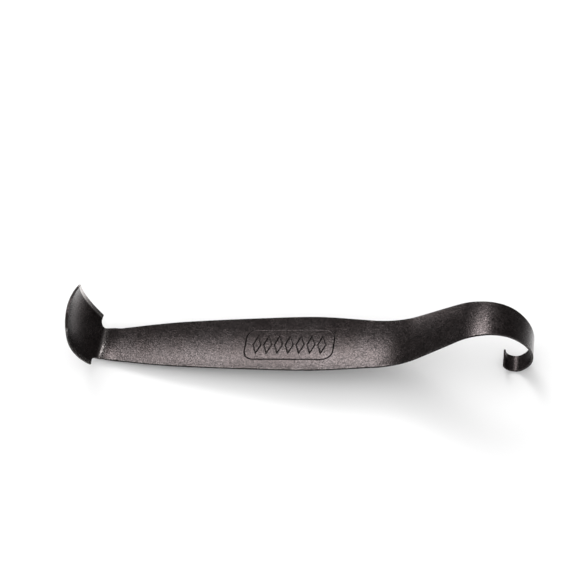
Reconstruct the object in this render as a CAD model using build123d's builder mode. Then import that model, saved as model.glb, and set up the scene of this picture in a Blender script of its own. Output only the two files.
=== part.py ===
from build123d import *

import os
from math import cos, radians, sin, sqrt
from typing import NamedTuple

# A double-ended hand tool, stamped and formed from one strip of sheet steel: an upturned scraping
# blade, a dished handle and a curled hook. The strip is described as six regions that meet face to
# face at its bend lines, and together they are the one blank.
#
# The tool lies as it rests on a table, on its heel and on the underside of its curl. X runs along it
# from the blade to the hook, Z is up, and the origin is under the middle of its bounding box. The
# spine is the centre line of the dished face, and it lies in the XZ plane except for a slight
# sideways drift of the hook. All sizes are in millimetres and degrees.

# Sheet
thickness = 1.2
tip_thickness = 0.9
dish_radius = 58.0
neck_dish_radius = 24.0
blade_dish_radius = 36.0

# Handle, which rises from the heel towards the hook by the rest angle
handle_length = 124.2
rest_angle = 5.353
neck_x = -87.78
neck_z = 1.97

# Neck and blade
neck_length = 8.1
neck_width = 17.0
heel_radius = 3.2
heel_angle = 53.0
blade_radius = 31.0
blade_angle = 62.3
shoulder_height = 2.6
relief_radius = 3.8
shoulder_width = 28.2
blade_width = 30.2
blade_top_width = 26.9
blade_corner_drop = 1.3
bevel_width = 2.0
bevel_depth = 0.35

# Hook: radius and angle of each bend, in order from the handle
ramp_radius = 41.7
ramp_angle = 31.2
ramp_length = 22.8
arch_bends = [(23.2, 31.4), (16.0, 51.6), (28.5, 52.4), (16.8, 35.5)]
curl_radius = 5.05
curl_angle = 148.0
hook_drift = 2.3
hook_dish = 0.1

# Strip width at places along the handle, as shares of its length, and at the places along the hook
handle_places = [0, 1 / 8, 1 / 4, 1 / 2, 3 / 4, 1]
handle_widths = [18.3, 21.8, 24.5, 27.3, 28.9, 25.1]
ramp_width = 22.4
crest_width = 17.9
arch_widths = [14.5, 9.0, 8.0]
tip_width = 7.7

# Engraved motif
motif_centre = 84.0
motif_length = 43.0
motif_height = 17.0
motif_corner = 5.0
groove_width = 0.5
groove_depth = 0.25
diamond_count = 7
diamond_pitch = 5.2
diamond_width = 4.4
diamond_height = 10.5

# Largest turn between two cross-sections of a bend
turn_step = 10.0


class Station(NamedTuple):
    """A place on the spine where a cross-section stands square to it."""

    x: float
    z: float
    slope: float
    distance: float


def advance(station, length, turn=0.0):
    """The station a signed length further along, where the spine turns evenly by an angle."""
    half = radians(turn / 2)
    chord = length * sin(half) / half if turn else length
    middle = radians(station.slope) + half
    return Station(
        station.x + chord * cos(middle),
        station.z + chord * sin(middle),
        station.slope + turn,
        station.distance + length,
    )


def stretch(station, length, turn=0.0, spans=1):
    """Evenly spaced stations along one straight or bend, both ends included."""
    return [advance(station, length * i / spans, turn * i / spans) for i in range(spans + 1)]


def bend(station, radius, turn):
    """Stations along a bend of the spine, close enough together to hold its arc."""
    spans = max(2, round(abs(turn) / turn_step))
    return stretch(station, radius * radians(abs(turn)), turn, spans)


def smooth(points, at):
    """Height at a distance of the smooth curve through (distance, height) points, without overshoot."""
    slopes = [(b[1] - a[1]) / (b[0] - a[0]) for a, b in zip(points, points[1:])]
    tangents = [slopes[0]]
    for before, after in zip(slopes, slopes[1:]):
        tangents.append(2 * before * after / (before + after) if before * after > 0 else 0.0)
    tangents.append(slopes[-1])
    i = max(0, min(len(slopes) - 1, sum(point[0] <= at for point in points) - 1))
    (x0, y0), (x1, y1) = points[i], points[i + 1]
    span = x1 - x0
    t = (at - x0) / span
    rise = (3 - 2 * t) * t * t
    lead = t * (1 - t) * ((1 - t) * tangents[i] - t * tangents[i + 1])
    return y0 + (y1 - y0) * rise + span * lead


def ease(start, end, at):
    """0 before start, 1 after end, and a straight rise between."""
    return max(0.0, min(1.0, (at - start) / (end - start)))


# The spine, from the neck end of the handle to the tip of the curl
neck_end = Station(neck_x, neck_z, rest_angle, 0.0)
handle_run = stretch(neck_end, handle_length, spans=12)
ramp_bend = bend(handle_run[-1], ramp_radius, ramp_angle)
ramp_run = stretch(ramp_bend[-1], ramp_length, spans=3)
arch_runs = []
arch_start = ramp_run[-1]
for bend_radius, bend_angle in arch_bends:
    arch_runs.append(bend(arch_start, bend_radius, -bend_angle))
    arch_start = arch_runs[-1][-1]
arch_stations = [arch_runs[0][0], *(station for run in arch_runs for station in run[1:])]
curl_run = bend(arch_start, curl_radius, -curl_angle)

# The spine, from the neck end of the handle back to the top of the blade
neck_run = stretch(neck_end, -neck_length, spans=4)
heel_run = stretch(neck_run[-1], -heel_radius * radians(heel_angle), -heel_angle, spans=6)
blade_length = blade_radius * radians(blade_angle)
shoulder_angle = blade_angle * shoulder_height / blade_length
relief_run = stretch(heel_run[-1], -shoulder_height, -shoulder_angle, spans=8)
shoulder = relief_run[-1]
blade_run = stretch(shoulder, shoulder_height - blade_length, shoulder_angle - blade_angle, spans=8)

# Places along the strip, as distances from the neck end
arch_ends = [run[-1].distance for run in arch_runs]
crest = 0.4 * arch_runs[0][0].distance + 0.6 * arch_ends[0]
tip = curl_run[-1].distance
strip_widths = [
    (-neck_length, neck_width),
    *zip([handle_length * place for place in handle_places], handle_widths),
    (ramp_bend[-1].distance, ramp_width),
    (crest, crest_width),
    *zip(arch_ends[1:], arch_widths),
    (tip, tip_width),
]
neck_curvatures = [
    (shoulder.distance, 1 / blade_dish_radius),
    (-neck_length, 1 / neck_dish_radius),
    (0, 1 / dish_radius),
    (handle_length, 1 / dish_radius),
]


def relief_flare(distance):
    """How much wider the neck gets on each side, just under the blade's shoulders."""
    gap = distance - shoulder.distance
    if gap >= relief_radius:
        return 0.0
    return relief_radius - sqrt(relief_radius**2 - (relief_radius - gap) ** 2)


def half_width(station):
    """Half the width of the strip, from the blade's shoulders to the tip of the curl."""
    if station.distance >= -neck_length:
        return smooth(strip_widths, station.distance) / 2
    return neck_width / 2 + relief_flare(station.distance)


def dish(station):
    """Radius of the dish. It is tightest at the heel, and it opens out again along the hook."""
    if station.distance < 0:
        return 1 / smooth(neck_curvatures, station.distance)
    fade = 1 - (1 - hook_dish) * ease(ramp_run[-1].distance, arch_ends[2], station.distance)
    return dish_radius / fade


def blade_half_width(station):
    """Half the width of the blade, which bulges between its shoulders and its top edge."""
    t = (station.distance - shoulder.distance) / (blade_run[-1].distance - shoulder.distance)
    bulge = 4 * t * (1 - t) * (blade_width - (shoulder_width + blade_top_width) / 2)
    return (shoulder_width + (blade_top_width - shoulder_width) * t + bulge) / 2


def section_plane(station):
    """Plane of a cross-section: local x across the strip, local y out of its dished face."""
    t = ease(ramp_run[-1].distance, tip, station.distance)
    drift = hook_drift * t * t * (3 - 2 * t)
    slope = radians(station.slope)
    return Plane(
        origin=(station.x, drift, station.z),
        x_dir=(0, 1, 0),
        z_dir=(cos(slope), 0, sin(slope)),
    )


def rim_height(half, radius):
    """Height of a dished face's rim over its middle."""
    return radius - sqrt(radius**2 - half**2)


def sheet_section(plane, half, radius, sheet):
    """A dished sheet of a given half width, dish radius and thickness, cut square to the spine."""
    rim = rim_height(half, radius)
    with BuildSketch(plane) as section:
        with BuildLine():
            face = ThreePointArc((-half, rim), (0, 0), (half, rim))
            back = ThreePointArc((-half, rim - sheet), (0, -sheet), (half, rim - sheet))
            Line(face @ 0, back @ 0)
            Line(face @ 1, back @ 1)
        make_face()
    return section.sketch


def cross_section(station):
    """The strip at a station. Its sheet thins along the hook."""
    thinning = ease(arch_ends[0], arch_ends[3], station.distance)
    sheet = thickness + (tip_thickness - thickness) * thinning
    return sheet_section(section_plane(station), half_width(station), dish(station), sheet)


def blade_section(station):
    """The blade, cut square to the spine, with a bevel ground on the dished face along both sides."""
    half = blade_half_width(station)
    inner = half - bevel_width
    rim = rim_height(half, blade_dish_radius)
    inner_rim = rim_height(inner, blade_dish_radius)
    with BuildSketch(section_plane(station)) as section:
        with BuildLine():
            face = ThreePointArc((-inner, inner_rim), (0, 0), (inner, inner_rim))
            back = ThreePointArc((-half, rim - thickness), (0, -thickness), (half, rim - thickness))
            Polyline(face @ 0, (-half, rim - bevel_depth), back @ 0)
            Polyline(face @ 1, (half, rim - bevel_depth), back @ 1)
        make_face()
    return section.sketch


def diamond(share):
    """Corners of a motif diamond, at a share of its full size."""
    wide = share * diamond_width / 2
    tall = share * diamond_height / 2
    return (-wide, 0), (0, tall), (wide, 0), (0, -tall)


# Blade: its top edge is trimmed to a shallow arc
top = section_plane(blade_run[-1])
top_half = blade_top_width / 2
top_radius = (top_half**2 + blade_corner_drop**2) / (2 * blade_corner_drop)
with BuildPart() as scraper_blade:
    loft([blade_section(station) for station in blade_run])
    with BuildSketch(Plane(origin=top.origin, x_dir=top.x_dir, z_dir=top.y_dir)):
        with Locations((0, -top_radius)):
            Circle(top_radius)
    extrude(amount=blade_length, both=True, mode=Mode.INTERSECT)

# Neck, the tight bend under the blade, and the relief radii that flare out to its shoulders
with BuildPart() as heel_bend:
    loft([cross_section(station) for station in neck_run], ruled=True)
    loft([cross_section(station) for station in heel_run])
    loft([cross_section(station) for station in relief_run], ruled=True)

# Grooves of the motif: a plain rounded border around a row of upright diamonds. Inside its groove,
# a diamond keeps the share of its size that is left when each side moves in by the groove's width.
diamond_diagonal = sqrt(diamond_width**2 + diamond_height**2)
inner_share = 1 - 2 * groove_width * diamond_diagonal / (diamond_width * diamond_height)
motif_start = advance(neck_end, motif_centre - motif_length / 2 - groove_width)
motif_middle = section_plane(advance(neck_end, motif_centre))
with BuildPart() as motif:
    with BuildSketch(section_plane(motif_start)):
        with Locations((0, dish_radius)):
            Circle(dish_radius + groove_depth)
    extrude(amount=motif_length + 2 * groove_width)
    with BuildSketch(Plane(origin=motif_middle.origin, x_dir=motif_middle.z_dir, z_dir=motif_middle.y_dir)):
        RectangleRounded(motif_length, motif_height, motif_corner)
        offset(amount=-groove_width, mode=Mode.SUBTRACT)
        with GridLocations(diamond_pitch, 0, diamond_count, 1):
            Polygon(*diamond(1.0))
            Polygon(*diamond(inner_share), mode=Mode.SUBTRACT)
    extrude(amount=thickness + rim_height(motif_height / 2, dish_radius), both=True, mode=Mode.INTERSECT)

# Handle: a length of dished sheet, cut to the outline of the blank, with the motif pressed into it
neck_section = section_plane(neck_end)
with BuildPart() as handle:
    extrude(sheet_section(neck_section, blade_width / 2, dish_radius, thickness), amount=handle_length)
    with BuildSketch(Plane(origin=neck_section.origin, x_dir=neck_section.z_dir, z_dir=neck_section.y_dir)):
        with BuildLine():
            side = Spline([(station.distance, half_width(station)) for station in handle_run])
            mirror(side, about=Plane.XZ)
            Line((0, half_width(neck_end)), (0, -half_width(neck_end)))
            Line((handle_length, half_width(handle_run[-1])), (handle_length, -half_width(handle_run[-1])))
        make_face()
    extrude(amount=blade_width, both=True, mode=Mode.INTERSECT)
    add(motif, mode=Mode.SUBTRACT)

with BuildPart() as swan_neck:
    loft([cross_section(station) for station in ramp_bend])
    loft([cross_section(station) for station in ramp_run])

with BuildPart() as crook:
    loft([cross_section(station) for station in arch_stations])

with BuildPart() as curl:
    loft([cross_section(station) for station in curl_run])

os.makedirs("parts", exist_ok=True)
for name, region in {
    "scraper_blade": scraper_blade,
    "heel_bend": heel_bend,
    "handle": handle,
    "swan_neck": swan_neck,
    "crook": crook,
    "curl": curl,
}.items():
    region.part.label = name
    export_step(region.part, f"parts/{name}.step")
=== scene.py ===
"""Looks of the double-ended steel hand tool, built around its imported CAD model.

The whole tool is one formed strip of blackened sheet steel. Each of its regions is rebuilt here as a
fine mesh with rounded edges, a ground blade and an engraved panel, in place of its CAD node. Lengths
are in metres and angles in degrees, and the spine and its widths are those of the design.
"""

from math import cos, radians, sin, sqrt

import bmesh
import bpy
import numpy as np
from mathutils import Matrix, Vector


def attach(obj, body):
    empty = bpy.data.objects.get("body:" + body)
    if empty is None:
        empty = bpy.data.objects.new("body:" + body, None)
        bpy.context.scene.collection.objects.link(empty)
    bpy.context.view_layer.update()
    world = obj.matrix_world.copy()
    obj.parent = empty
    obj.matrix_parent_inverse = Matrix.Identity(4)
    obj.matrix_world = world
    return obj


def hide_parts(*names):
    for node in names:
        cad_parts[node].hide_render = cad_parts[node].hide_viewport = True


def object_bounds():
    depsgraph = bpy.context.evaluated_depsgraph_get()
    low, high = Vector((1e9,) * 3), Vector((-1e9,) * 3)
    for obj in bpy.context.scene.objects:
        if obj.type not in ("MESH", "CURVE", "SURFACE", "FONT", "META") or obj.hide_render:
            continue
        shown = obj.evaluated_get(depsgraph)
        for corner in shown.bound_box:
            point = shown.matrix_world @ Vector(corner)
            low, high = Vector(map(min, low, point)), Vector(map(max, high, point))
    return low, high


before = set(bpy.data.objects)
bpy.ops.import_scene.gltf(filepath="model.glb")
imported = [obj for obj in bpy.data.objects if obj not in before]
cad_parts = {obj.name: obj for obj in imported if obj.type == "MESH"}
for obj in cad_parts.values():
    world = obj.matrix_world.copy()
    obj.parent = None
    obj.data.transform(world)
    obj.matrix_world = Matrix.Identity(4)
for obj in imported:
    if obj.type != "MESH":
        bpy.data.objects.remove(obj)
cad_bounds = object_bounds()

# ---------------------------------------------------------------- sizes of the formed strip
thickness = 0.0012
tip_thickness = 0.0009
dish_radius = 0.058
neck_dish_radius = 0.024
blade_dish_radius = 0.036

handle_length = 0.1242
rest_angle = 5.353
neck_x = -0.08778
neck_z = 0.00197

neck_length = 0.0081
neck_width = 0.0170
heel_radius = 0.0032
heel_angle = 53.0
blade_radius = 0.0310
blade_angle = 62.3
shoulder_height = 0.0026
relief_radius = 0.0038
shoulder_width = 0.0282
blade_width = 0.0302
blade_top_width = 0.0269
blade_corner_drop = 0.0013
bevel_width = 0.0020
bevel_depth = 0.00035

ramp_radius = 0.0417
ramp_angle = 31.2
ramp_length = 0.0228
arch_bends = [(0.0232, 31.4), (0.0160, 51.6), (0.0285, 52.4), (0.0168, 35.5)]
curl_radius = 0.00505
curl_angle = 148.0
hook_drift = 0.0023
hook_dish = 0.1

handle_places = [0, 1 / 8, 1 / 4, 1 / 2, 3 / 4, 1]
handle_widths = [0.0183, 0.0218, 0.0245, 0.0273, 0.0289, 0.0251]
ramp_width = 0.0224
crest_width = 0.0179
arch_widths = [0.0145, 0.0090, 0.0080]
tip_width = 0.0077
crest_place = 0.6

motif_centre = 0.084
motif_length = 0.043
motif_height = 0.017
motif_corner = 0.005
groove_width = 0.0005
groove_depth = 0.00025
groove_spread = 0.62
diamond_count = 7
diamond_pitch = 0.0052
diamond_width = 0.0044
diamond_height = 0.0105

# ---------------------------------------------------------------- fineness of the meshes
coarse_step = 0.0010
fine_step = 0.00016
turn_step = 1.5
strip_columns = 29
side_columns = 7
blade_rows = 56
blade_columns = 32
edge_radius = 0.00016
edge_segments = 5
# Edges that fold by more than this are shaded sharp. The handle's grooves need the larger angle.
fold_angle = 20.0
groove_fold_angle = 60.0

# ---------------------------------------------------------------- wear, the painted highlight in the tight bend, and how far each reaches
wear_reach = 0.0008
# How far the painted highlight in the tight bend under the blade reaches along the strip.
painted_highlight_reach = 0.0016
strip_wear = 0.6
blade_wear = 0.15


class Station:
    """A place on the spine where a cross-section stands square to it."""

    def __init__(self, x, z, slope, distance):
        self.x = x
        self.z = z
        self.slope = slope
        self.distance = distance


def advance(station, length, turn=0.0):
    """The station a signed length further along, where the spine turns evenly by an angle."""
    half = radians(turn / 2)
    chord = length * sin(half) / half if turn else length
    middle = radians(station.slope) + half
    return Station(
        station.x + chord * cos(middle),
        station.z + chord * sin(middle),
        station.slope + turn,
        station.distance + length,
    )


def stretch(station, length, turn=0.0, step=coarse_step):
    """Evenly spaced stations along one straight or bend, both ends included."""
    spans = max(2, round(abs(length) / step), round(abs(turn) / turn_step))
    return [advance(station, length * i / spans, turn * i / spans) for i in range(spans + 1)]


def bend(station, radius, turn):
    """Stations along a bend of the spine."""
    return stretch(station, radius * radians(abs(turn)), turn)


def smooth(points, at):
    """Height at a distance of the smooth curve through (distance, height) points, without overshoot."""
    slopes = [(b[1] - a[1]) / (b[0] - a[0]) for a, b in zip(points, points[1:])]
    tangents = [slopes[0]]
    for before, after in zip(slopes, slopes[1:]):
        tangents.append(2 * before * after / (before + after) if before * after > 0 else 0.0)
    tangents.append(slopes[-1])
    i = max(0, min(len(slopes) - 1, sum(point[0] <= at for point in points) - 1))
    (x0, y0), (x1, y1) = points[i], points[i + 1]
    span = x1 - x0
    t = (at - x0) / span
    rise = (3 - 2 * t) * t * t
    lead = t * (1 - t) * ((1 - t) * tangents[i] - t * tangents[i + 1])
    return y0 + (y1 - y0) * rise + span * lead


def ease(start, end, at):
    """0 before start, 1 after end, and a straight rise between."""
    return max(0.0, min(1.0, (at - start) / (end - start)))


# ---------------------------------------------------------------- the spine
neck_end = Station(neck_x, neck_z, rest_angle, 0.0)
panel_margin = 0.001
panel_start = motif_centre - motif_length / 2 - panel_margin
panel_length = motif_length + 2 * panel_margin
plain_run = stretch(neck_end, panel_start)
panel_run = stretch(plain_run[-1], panel_length, step=fine_step)
grip_run = stretch(panel_run[-1], handle_length - panel_start - panel_length)
handle_run = plain_run + panel_run[1:] + grip_run[1:]
ramp_bend = bend(handle_run[-1], ramp_radius, ramp_angle)
ramp_run = stretch(ramp_bend[-1], ramp_length)
arch_runs = []
arch_start = ramp_run[-1]
for bend_radius, bend_angle in arch_bends:
    arch_runs.append(bend(arch_start, bend_radius, -bend_angle))
    arch_start = arch_runs[-1][-1]
arch_run = arch_runs[0][:1] + [station for run in arch_runs for station in run[1:]]
curl_run = bend(arch_start, curl_radius, -curl_angle)

neck_run = stretch(neck_end, -neck_length)
heel_run = stretch(neck_run[-1], -heel_radius * radians(heel_angle), -heel_angle)
blade_length = blade_radius * radians(blade_angle)
shoulder_angle = blade_angle * shoulder_height / blade_length
relief_run = stretch(heel_run[-1], -shoulder_height, -shoulder_angle, step=fine_step)
shoulder = relief_run[-1]

arch_ends = [run[-1].distance for run in arch_runs]
crest = (1 - crest_place) * arch_runs[0][0].distance + crest_place * arch_ends[0]
tip = curl_run[-1].distance
strip_widths = [
    (-neck_length, neck_width),
    *zip([handle_length * place for place in handle_places], handle_widths),
    (ramp_bend[-1].distance, ramp_width),
    (crest, crest_width),
    *zip(arch_ends[1:], arch_widths),
    (tip, tip_width),
]
neck_curvatures = [
    (shoulder.distance, 1 / blade_dish_radius),
    (-neck_length, 1 / neck_dish_radius),
    (0, 1 / dish_radius),
    (handle_length, 1 / dish_radius),
]


def half_width(station):
    """Half the width of the strip, from the blade's shoulders to the tip of the curl."""
    if station.distance >= -neck_length:
        return smooth(strip_widths, station.distance) / 2
    gap = min(relief_radius, station.distance - shoulder.distance)
    flare = relief_radius - sqrt(max(0.0, relief_radius**2 - (relief_radius - gap) ** 2))
    return neck_width / 2 + flare


def dish(station):
    """Radius of the dish. It is tightest at the heel, and it opens out again along the hook."""
    if station.distance < 0:
        return 1 / smooth(neck_curvatures, station.distance)
    fade = 1 - (1 - hook_dish) * ease(ramp_run[-1].distance, arch_ends[2], station.distance)
    return dish_radius / fade


def rim_height(across, radius):
    """Height of a dished face over its middle, at a distance across it."""
    return radius - np.sqrt(radius**2 - np.square(across))


def placed(station, across, up):
    """Points of a cross-section, from distances across the strip and out of its dished face."""
    t = ease(ramp_run[-1].distance, tip, station.distance)
    drift = hook_drift * t * t * (3 - 2 * t)
    slope = radians(station.slope)
    across = np.asarray(across, float)
    up = np.broadcast_to(up, across.shape)
    along = station.x - sin(slope) * up
    height = station.z + cos(slope) * up
    return np.stack([along, drift + across, height], 1)


# ---------------------------------------------------------------- the engraved panel
def groove(along, across):
    """Depth of the motif's grooves: a rounded border around a row of upright diamonds."""
    x = along - motif_centre
    y = across
    qx = np.abs(x) - motif_length / 2 + motif_corner + groove_width / 2
    qy = np.abs(y) - motif_height / 2 + motif_corner + groove_width / 2
    outside = np.hypot(np.maximum(qx, 0), np.maximum(qy, 0)) + np.minimum(np.maximum(qx, qy), 0)
    nearest = np.abs(outside - motif_corner)
    cell = np.clip(np.round(x / diamond_pitch), -(diamond_count // 2), diamond_count // 2)
    w = diamond_width / 2
    h = diamond_height / 2
    slant = (np.abs(x - cell * diamond_pitch) * h + np.abs(y) * w - w * h) / np.hypot(w, h)
    nearest = np.minimum(nearest, np.abs(slant + groove_width / 2))
    t = np.clip(nearest / (groove_spread * groove_width), 0, 1)
    return groove_depth * (1 - t * t * (3 - 2 * t))


# ---------------------------------------------------------------- meshes
def edge_wear(distance):
    """1 at an edge, fading to 0 at a little way in from it."""
    t = np.clip(1 - np.asarray(distance) / wear_reach, 0, 1)
    return t * t


def painted_highlight(station):
    """Painted highlight: 1 in the tight bend under the blade, fading to 0 at a little way along from
    it.
    """
    ahead = ease(neck_run[-1].distance + painted_highlight_reach, neck_run[-1].distance, station.distance)
    behind = ease(heel_run[-1].distance, heel_run[-1].distance + painted_highlight_reach, station.distance)
    return min(ahead, behind)


def rounded_rims(bm, face, back, free_ends):
    """The edges of a sheet to round: its two sides, and its ends beyond what holds them."""
    rims = []
    for line in (face, back):
        for side in (0, -1):
            rims += [bm.edges.get((a[side], b[side])) for a, b in zip(line, line[1:])]
        for end, held in free_ends.items():
            for a, b in zip(line[end], line[end][1:]):
                if min(abs(a.co.y), abs(b.co.y)) >= held:
                    rims.append(bm.edges.get((a, b)))
    for end in free_ends:
        rims += [bm.edges.get((face[end][side], back[end][side])) for side in (0, -1)]
    return rims


def sheet_object(name, tops, backs, marks, free_ends, sharp):
    """A closed sheet between a grid of face points and a grid of back points. marks gives what the
    material asks of each grid point: how worn, ground or sunk it is, and how much painted highlight it
    gets in the tight bend. free_ends gives each end that is rounded and the half width over which
    another region holds it."""
    rows, count = tops.shape[:2]
    bm = bmesh.new()
    layers = {kind: bm.verts.layers.float.new(kind) for kind in marks}

    def line(points, i):
        verts = []
        for j in range(count):
            vert = bm.verts.new(points[i, j])
            for kind, layer in layers.items():
                vert[layer] = marks[kind][i, j]
            verts.append(vert)
        return verts

    face = [line(tops, i) for i in range(rows)]
    back = [line(backs, i) for i in range(rows)]
    for i in range(rows - 1):
        for j in range(count - 1):
            bm.faces.new((face[i][j], face[i][j + 1], face[i + 1][j + 1], face[i + 1][j]))
            bm.faces.new((back[i][j], back[i + 1][j], back[i + 1][j + 1], back[i][j + 1]))
        bm.faces.new((face[i][0], face[i + 1][0], back[i + 1][0], back[i][0]))
        bm.faces.new((face[i][-1], back[i][-1], back[i + 1][-1], face[i + 1][-1]))
    for j in range(count - 1):
        bm.faces.new((face[0][j], back[0][j], back[0][j + 1], face[0][j + 1]))
        bm.faces.new((face[-1][j], face[-1][j + 1], back[-1][j + 1], back[-1][j]))
    bmesh.ops.bevel(
        bm,
        geom=rounded_rims(bm, face, back, free_ends),
        offset=edge_radius,
        offset_type="OFFSET",
        segments=edge_segments,
        profile=0.5,
        affect="EDGES",
        clamp_overlap=True,
    )
    bmesh.ops.recalc_face_normals(bm, faces=bm.faces)
    mesh = bpy.data.meshes.new(name)
    bm.to_mesh(mesh)
    bm.free()
    mesh.polygons.foreach_set("use_smooth", [True] * len(mesh.polygons))
    mesh.set_sharp_from_angle(angle=radians(sharp))
    piece = bpy.data.objects.new(name, mesh)
    bpy.context.scene.collection.objects.link(piece)
    return piece


def strip_object(name, run, shares, engraved=False, free_ends=None, sharp=fold_angle):
    """A region of the strip, from its cross-sections along a run of the spine."""
    tops, backs, wear, depths, painted_highlights = [], [], [], [], []
    for station in run:
        half = half_width(station)
        across = half * shares
        thinning = ease(arch_ends[0], arch_ends[3], station.distance)
        sheet = thickness + (tip_thickness - thickness) * thinning
        rise = rim_height(across, dish(station))
        sunk = groove(station.distance, across) if engraved else 0 * across
        tops.append(placed(station, across, rise - sunk))
        backs.append(placed(station, across, rise - sheet))
        wear.append(edge_wear(half - np.abs(across)))
        depths.append(sunk / groove_depth)
        # How much painted highlight this cross-section gets in the tight bend under the blade.
        painted_highlights.append(np.full(len(shares), painted_highlight(station)))
    marks = {
        "wear": strip_wear * np.array(wear),
        "sunk": np.array(depths),
        "painted_highlight": np.array(painted_highlights),
    }
    return sheet_object(name, np.array(tops), np.array(backs), marks, free_ends or {}, sharp)


def blade_half_width(share):
    """Half the width of the blade, which bulges between its shoulders and its top edge."""
    bulge = 4 * share * (1 - share) * (blade_width - (shoulder_width + blade_top_width) / 2)
    return (shoulder_width + (blade_top_width - shoulder_width) * share + bulge) / 2


def blade_object(name):
    """The blade: a dished sheet with a rounded top edge, its sides ground to a shallow bevel."""
    length = blade_length - shoulder_height
    turn = blade_angle - shoulder_angle
    top_radius = (blade_top_width**2 / 4 + blade_corner_drop**2) / (2 * blade_corner_drop)
    bevel_steps = bevel_width * np.array([0, 0.2, 0.4, 0.6, 0.8, 1.0, 1.1])
    tops, backs, wear, ground = [], [], [], []
    for share in np.linspace(0, 1, blade_rows):
        half = blade_half_width(share)
        inner = (half - bevel_steps[-1]) * np.linspace(-1, 1, blade_columns)[1:-1]
        across = np.concatenate([bevel_steps - half, inner, (half - bevel_steps)[::-1]])
        reach = length - rim_height(across, top_radius)
        to_side = half - np.abs(across)
        depth = bevel_depth * np.clip(1 - to_side / bevel_width, 0, 1)
        rise = rim_height(across, blade_dish_radius)
        stations = [advance(shoulder, -d, -turn * d / length) for d in reach * share]
        tops.append([placed(*spot)[0] for spot in zip(stations, across[:, None], rise - depth)])
        backs.append([placed(*spot)[0] for spot in zip(stations, across[:, None], rise - thickness)])
        wear.append(edge_wear(np.minimum(to_side, reach * (1 - share))))
        ground.append(depth > 0)
    marks = {"wear": blade_wear * np.array(wear), "ground": np.array(ground, float)}
    held = neck_width / 2 + relief_radius
    free_ends = {-1: 0.0, 0: held}
    return sheet_object(name, np.array(tops), np.array(backs), marks, free_ends, fold_angle)


# ---------------------------------------------------------------- material
class Nodes:
    """Short ways to add and join the nodes of a material or a world."""

    def __init__(self, owner, coordinates):
        owner.use_nodes = True
        self.owner = owner
        self.tree = owner.node_tree
        self.tree.nodes.clear()
        self.place = self.add("ShaderNodeTexCoord").outputs[coordinates]

    def add(self, kind, **settings):
        node = self.tree.nodes.new(kind)
        for setting, value in settings.items():
            setattr(node, setting, value)
        return node

    def join(self, source, target):
        if isinstance(source, (int, float, tuple)):
            target.default_value = source
        else:
            self.tree.links.new(source, target)

    def noise(self, scale, detail, roughness):
        node = self.add("ShaderNodeTexNoise")
        self.join(self.place, node.inputs["Vector"])
        node.inputs["Scale"].default_value = scale
        node.inputs["Detail"].default_value = detail
        node.inputs["Roughness"].default_value = roughness
        return node.outputs["Fac"]

    def span(self, value, low, high, to_low=0.0, to_high=1.0):
        node = self.add("ShaderNodeMapRange", interpolation_type="SMOOTHSTEP")
        ends = (value, low, high, to_low, to_high)
        for socket, end in zip(node.inputs[:5], ends):
            self.join(end, socket)
        return node.outputs[0]

    def math(self, operation, first, second):
        node = self.add("ShaderNodeMath", operation=operation)
        self.join(first, node.inputs[0])
        self.join(second, node.inputs[1])
        return node.outputs[0]

    def mix(self, factor, first, second):
        # The colour sockets of a Mix node are the 7th and 8th inputs and the 3rd output.
        node = self.add("ShaderNodeMix", data_type="RGBA")
        self.join(factor, node.inputs[0])
        self.join(first, node.inputs[6])
        self.join(second, node.inputs[7])
        return node.outputs[2]

    def scaled(self, colour, factor):
        node = self.add("ShaderNodeVectorMath", operation="SCALE")
        self.join(colour, node.inputs[0])
        self.join(factor, node.inputs["Scale"])
        return node.outputs[0]

    def mark(self, name):
        return self.add("ShaderNodeAttribute", attribute_name=name).outputs["Fac"]


darker_oxide = (0.046, 0.0375, 0.0370, 1)
lighter_oxide = (0.058, 0.0490, 0.0490, 1)
# Bare steel, at worn and ground places, and as the painted highlight in the tight bend.
bare_and_highlight_steel = (0.50, 0.47, 0.46, 1)
bump_height = 0.00010


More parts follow.
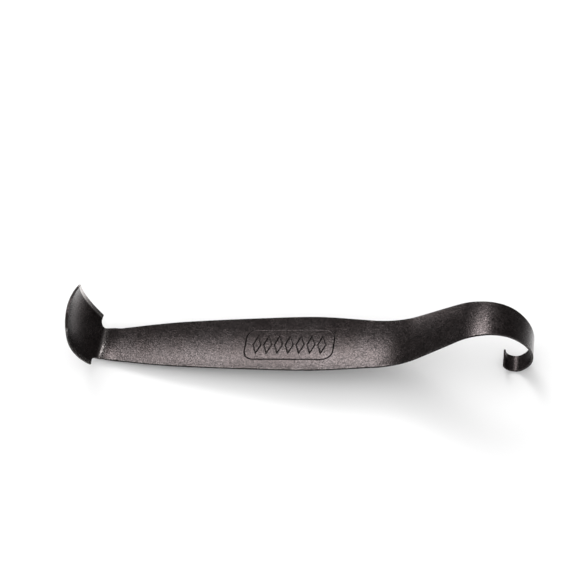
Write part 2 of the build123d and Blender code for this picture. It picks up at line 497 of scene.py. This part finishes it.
def blackened_steel():
    """Black oxide on formed steel: a speckled grain, a patina that drifts between two dark browns,
    duller patches, and paler metal where it is ground or rubbed at edges. Paler metal in the tight
    bend under the blade is a painted highlight."""
    n = Nodes(bpy.data.materials.new("blackened_steel"), "Object")
    grain = n.noise(1500, 3.0, 0.6)
    speck = n.noise(1150, 4.0, 0.75)
    drift = n.noise(55, 4.0, 0.55)
    cloud = n.noise(260, 3.0, 0.55)

    patina = n.mix(n.span(drift, 0.35, 0.65), darker_oxide, lighter_oxide)
    speckle = n.span(speck, 0.36, 0.64, 0.40, 1.50)
    shade = n.math("ADD", speckle, n.span(cloud, 0.3, 0.7, -0.08, 0.12))
    shade = n.math("MULTIPLY", shade, n.span(n.mark("sunk"), 0.2, 0.9, 1.0, 0.3))
    oxide = n.scaled(patina, shade)
    rubbed = n.math("MULTIPLY", n.mark("wear"), n.span(cloud, 0.42, 0.66, 0.02, 0.25))
    rubbed = n.math("MULTIPLY", rubbed, n.span(grain, 0.4, 0.6, 0.3, 1.0))
    ground = n.math("MULTIPLY", n.mark("ground"), n.span(cloud, 0.3, 0.7, 0.75, 0.95))
    # Painted highlight: paler bare metal in the tight bend under the blade, for a bright band the
    # bend's shape doesn't give.
    painted_bend_highlight = n.math("MULTIPLY", n.mark("painted_highlight"), n.span(grain, 0.3, 0.7, 0.12, 0.4))
    bare_and_highlight = n.math("MAXIMUM", n.math("MAXIMUM", rubbed, ground), painted_bend_highlight)

    roughness = n.span(grain, 0.3, 0.7, 0.16, 0.27)
    roughness = n.math("ADD", roughness, n.span(cloud, 0.3, 0.7, -0.02, 0.04))
    roughness = n.math("ADD", roughness, n.math("MULTIPLY", n.mark("sunk"), 0.2))

    height = n.math("ADD", grain, n.math("MULTIPLY", speck, 0.3))
    bump = n.add("ShaderNodeBump")
    bump.inputs["Strength"].default_value = 1.0
    bump.inputs["Distance"].default_value = bump_height
    n.join(height, bump.inputs["Height"])

    shader = n.add("ShaderNodeBsdfPrincipled")
    n.join(n.mix(bare_and_highlight, oxide, bare_and_highlight_steel), shader.inputs["Base Color"])
    n.join(n.span(bare_and_highlight, 0.0, 1.0, 0.85, 1.0), shader.inputs["Metallic"])
    n.join(roughness, shader.inputs["Roughness"])
    n.join(bump.outputs[0], shader.inputs["Normal"])
    n.join(shader.outputs[0], n.add("ShaderNodeOutputMaterial").inputs[0])
    return n.owner


def floor_paper():
    """Plain pale paper, with a faint unevenness."""
    n = Nodes(bpy.data.materials.new("floor_paper"), "Object")
    shader = n.add("ShaderNodeBsdfPrincipled")
    tone = n.span(n.noise(9, 2.0, 0.5), 0.2, 0.8)
    n.join(n.mix(tone, (0.80, 0.80, 0.80, 1), (0.82, 0.82, 0.82, 1)), shader.inputs["Base Color"])
    shader.inputs["Roughness"].default_value = 0.9
    shader.inputs["Specular IOR Level"].default_value = 0.2
    n.join(shader.outputs[0], n.add("ShaderNodeOutputMaterial").inputs[0])
    return n.owner


# ---------------------------------------------------------------- the pieces
plain = np.linspace(-1, 1, strip_columns)
panel_half = motif_height / 2 + panel_margin / 2
panel_share = panel_half / half_width(plain_run[-1])
panel_columns = np.linspace(-panel_share, panel_share, round(2 * panel_half / fine_step))
outer_columns = np.linspace(panel_share, 1, side_columns + 1)[1:]
fine = np.concatenate([-outer_columns[::-1], panel_columns, outer_columns])

pieces = {
    "scraper_blade": blade_object("blade_steel"),
    "heel_bend": strip_object("heel_steel", neck_run + heel_run[1:] + relief_run[1:], plain),
    "handle": strip_object("handle_steel", handle_run, fine, engraved=True, sharp=groove_fold_angle),
    "swan_neck": strip_object("swan_neck_steel", ramp_bend + ramp_run[1:], plain),
    "crook": strip_object("crook_steel", arch_run, plain),
    "curl": strip_object("curl_steel", curl_run, plain, free_ends={-1: 0.0}),
}
steel = blackened_steel()
for node, piece in pieces.items():
    piece.data.materials.append(steel)
    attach(piece, "root")
    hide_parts(node)

# ---------------------------------------------------------------- floor, lights and camera
floor_size = 4.0
bpy.ops.mesh.primitive_plane_add(size=floor_size, location=(0, 0, cad_bounds[0][2]))
floor = bpy.context.object
floor.name = "floor"
floor.data.materials.append(floor_paper())
# The steel doesn't mirror the floor itself. The last two panels take its place.
floor.visible_glossy = False

# Soft-edged panels of light: azimuth from +Y towards +X, elevation, strength, and how tight each is.
# The fourth, at the camera's side, keeps the tool from being black from behind. One of no tightness
# glows evenly all round. The last two lie below the horizon, and are what the steel mirrors of the
# pale paper.
panels = [
    (-20, 40, 16.3, 60),
    (0, 58, 0.6, 16),
    (-88, 16, 8.5, 45),
    (-165, 42, 1.3, 6),
    (-55, 65, 0.12, 10),
    (0, 90, 0.08, 0),
    (45, -62, 1.9, 9),
    (0, -90, 0.3, 3),
]
# Light that only fills: matt surfaces gather it, and the steel doesn't mirror it.
fills = [
    (0, 90, 1.25, 1),
]


def studio():
    """A dark studio, lit by the panels and the fill."""
    n = Nodes(bpy.data.worlds.new("studio"), "Generated")

    def glow(lights):
        light = 0.0
        for azimuth, elevation, strength, tightness in lights:
            across, rise = radians(azimuth), radians(elevation)
            aim = n.add("ShaderNodeVectorMath", operation="DOT_PRODUCT")
            n.join(n.place, aim.inputs[0])
            aim.inputs[1].default_value = (
                sin(across) * cos(rise),
                cos(across) * cos(rise),
                sin(rise),
            )
            fall = n.math("MULTIPLY", n.math("SUBTRACT", aim.outputs["Value"], 1.0), float(tightness))
            lobe = n.math("MULTIPLY", n.math("EXPONENT", fall, 0.0), float(strength))
            light = n.math("ADD", lobe, light)
        return light

    mirrored = n.add("ShaderNodeLightPath").outputs["Is Glossy Ray"]
    fill = n.math("MULTIPLY", glow(fills), n.math("SUBTRACT", 1.0, mirrored))
    sky = n.add("ShaderNodeBackground")
    n.join(n.math("ADD", glow(panels), fill), sky.inputs["Strength"])
    n.join(sky.outputs[0], n.add("ShaderNodeOutputWorld").inputs[0])
    return n.owner


bpy.context.scene.world = studio()

view_azimuth = 18.56
view_elevation = 53.84
view_roll = -12.58
view_distance = 0.6819
view_aim = Vector((-0.01167, 0.03890, cad_bounds[0][2]))
lens = 87.6
sensor_width = 36.0

azimuth, elevation, roll = radians(view_azimuth), radians(view_elevation), radians(view_roll)
towards_camera = Vector(
    (sin(azimuth) * cos(elevation), -cos(azimuth) * cos(elevation), sin(elevation))
)
level = Vector((cos(azimuth), sin(azimuth), 0))
upright = towards_camera.cross(level)
right = cos(roll) * level + sin(roll) * upright
up = cos(roll) * upright - sin(roll) * level
camera_data = bpy.data.cameras.new("camera")
camera_data.lens = lens
camera_data.sensor_width = sensor_width
camera = bpy.data.objects.new("camera", camera_data)
turn = Matrix((right, up, towards_camera)).transposed().to_4x4()
camera.matrix_world = Matrix.Translation(view_aim + view_distance * towards_camera) @ turn
bpy.context.scene.collection.objects.link(camera)
bpy.context.scene.camera = camera
bpy.context.scene.view_settings.view_transform = "Standard"
